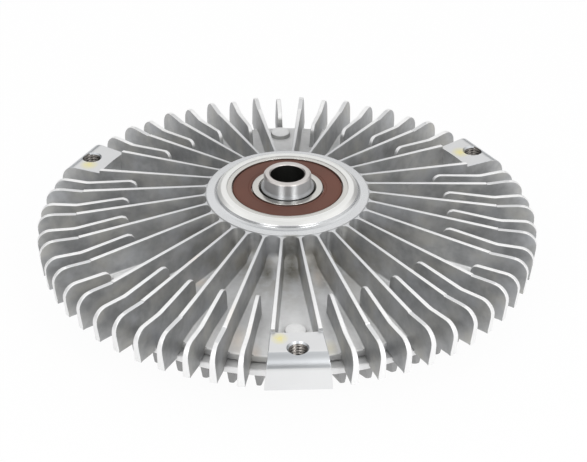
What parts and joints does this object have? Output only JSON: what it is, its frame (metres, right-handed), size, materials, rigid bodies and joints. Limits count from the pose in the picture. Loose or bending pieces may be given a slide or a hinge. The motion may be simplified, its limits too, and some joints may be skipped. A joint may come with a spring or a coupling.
{
  "type": "viscous fan clutch",
  "caption": "Viscous fan clutch with a finned cast housing, fan lugs, a bored input stub in a sealed bearing, and its rotor, valve and bimetal coil inside.",
  "frame": {"origin": "on the shaft's axis, in the plane that the front cover's fins stand on", "axes": "+Z along the shaft's axis, towards the engine side, as the part lies in the picture; -Y towards one of the fan lugs"},
  "size_m": [0.207, 0.207, 0.0507],
  "materials": {
    "cast_aluminium": "as cast, turned where the fan sits and on the fins' tops, stained between the fins",
    "ground_steel": "turned and ground",
    "bearing_steel": "ground",
    "sheet_steel": "pressed sheet",
    "screw_steel": "zinc plated",
    "seal_rubber": "moulded, matt red-brown",
    "black_rubber": "moulded, matt",
    "wiper_plastic": "moulded",
    "bimetal_strip": "rolled strip"
  },
  "bodies": {
    "housing": {"rear_housing": "cast_aluminium", "front_cover": "cast_aluminium", "bearing_outer_ring": "bearing_steel", "bearing_seal_top": "seal_rubber", "bearing_seal_bottom": "seal_rubber", "separator_plate": "sheet_steel", "pump_wiper": "wiper_plastic", "housing_seal_ring": "black_rubber", "bimetal_coil": "bimetal_strip", "cover_screw_1": "screw_steel", "cover_screw_2": "screw_steel", "cover_screw_3": "screw_steel", "cover_screw_4": "screw_steel", "cover_screw_5": "screw_steel", "cover_screw_6": "screw_steel"},
    "shaft": {"input_shaft": "ground_steel", "bearing_inner_ring": "bearing_steel", "rotor": "cast_aluminium"},
    "cage": {"bearing_cage": "sheet_steel", "bearing_ball_1": "bearing_steel", "bearing_ball_2": "bearing_steel", "bearing_ball_3": "bearing_steel", "bearing_ball_4": "bearing_steel", "bearing_ball_5": "bearing_steel", "bearing_ball_6": "bearing_steel", "bearing_ball_7": "bearing_steel"},
    "valve": {"bimetal_spindle": "ground_steel", "valve_arm": "sheet_steel", "spindle_seal_ring": "black_rubber"}
  },
  "joints": [
    {"name": "shaft_spin", "type": "hinge", "parent": "housing", "child": "shaft", "pos_m": [0, 0, 0.0368], "axis": [0, 0, 1], "continuous": true},
    {"name": "cage_spin", "type": "hinge", "parent": "housing", "child": "cage", "pos_m": [0, 0, 0.0368], "axis": [0, 0, 1], "continuous": true},
    {"name": "valve_swing", "type": "hinge", "parent": "housing", "child": "valve", "pos_m": [0, 0, 0.008], "axis": [0, 0, 1], "range_deg": [0, 28], "stiffness_Nm_per_rad": 0.02, "deforming": ["bimetal_coil"]}
  ],
  "couplings": [
    {"joint": "cage_spin", "follows": "shaft_spin", "ratio": 0.36952}
  ]
}
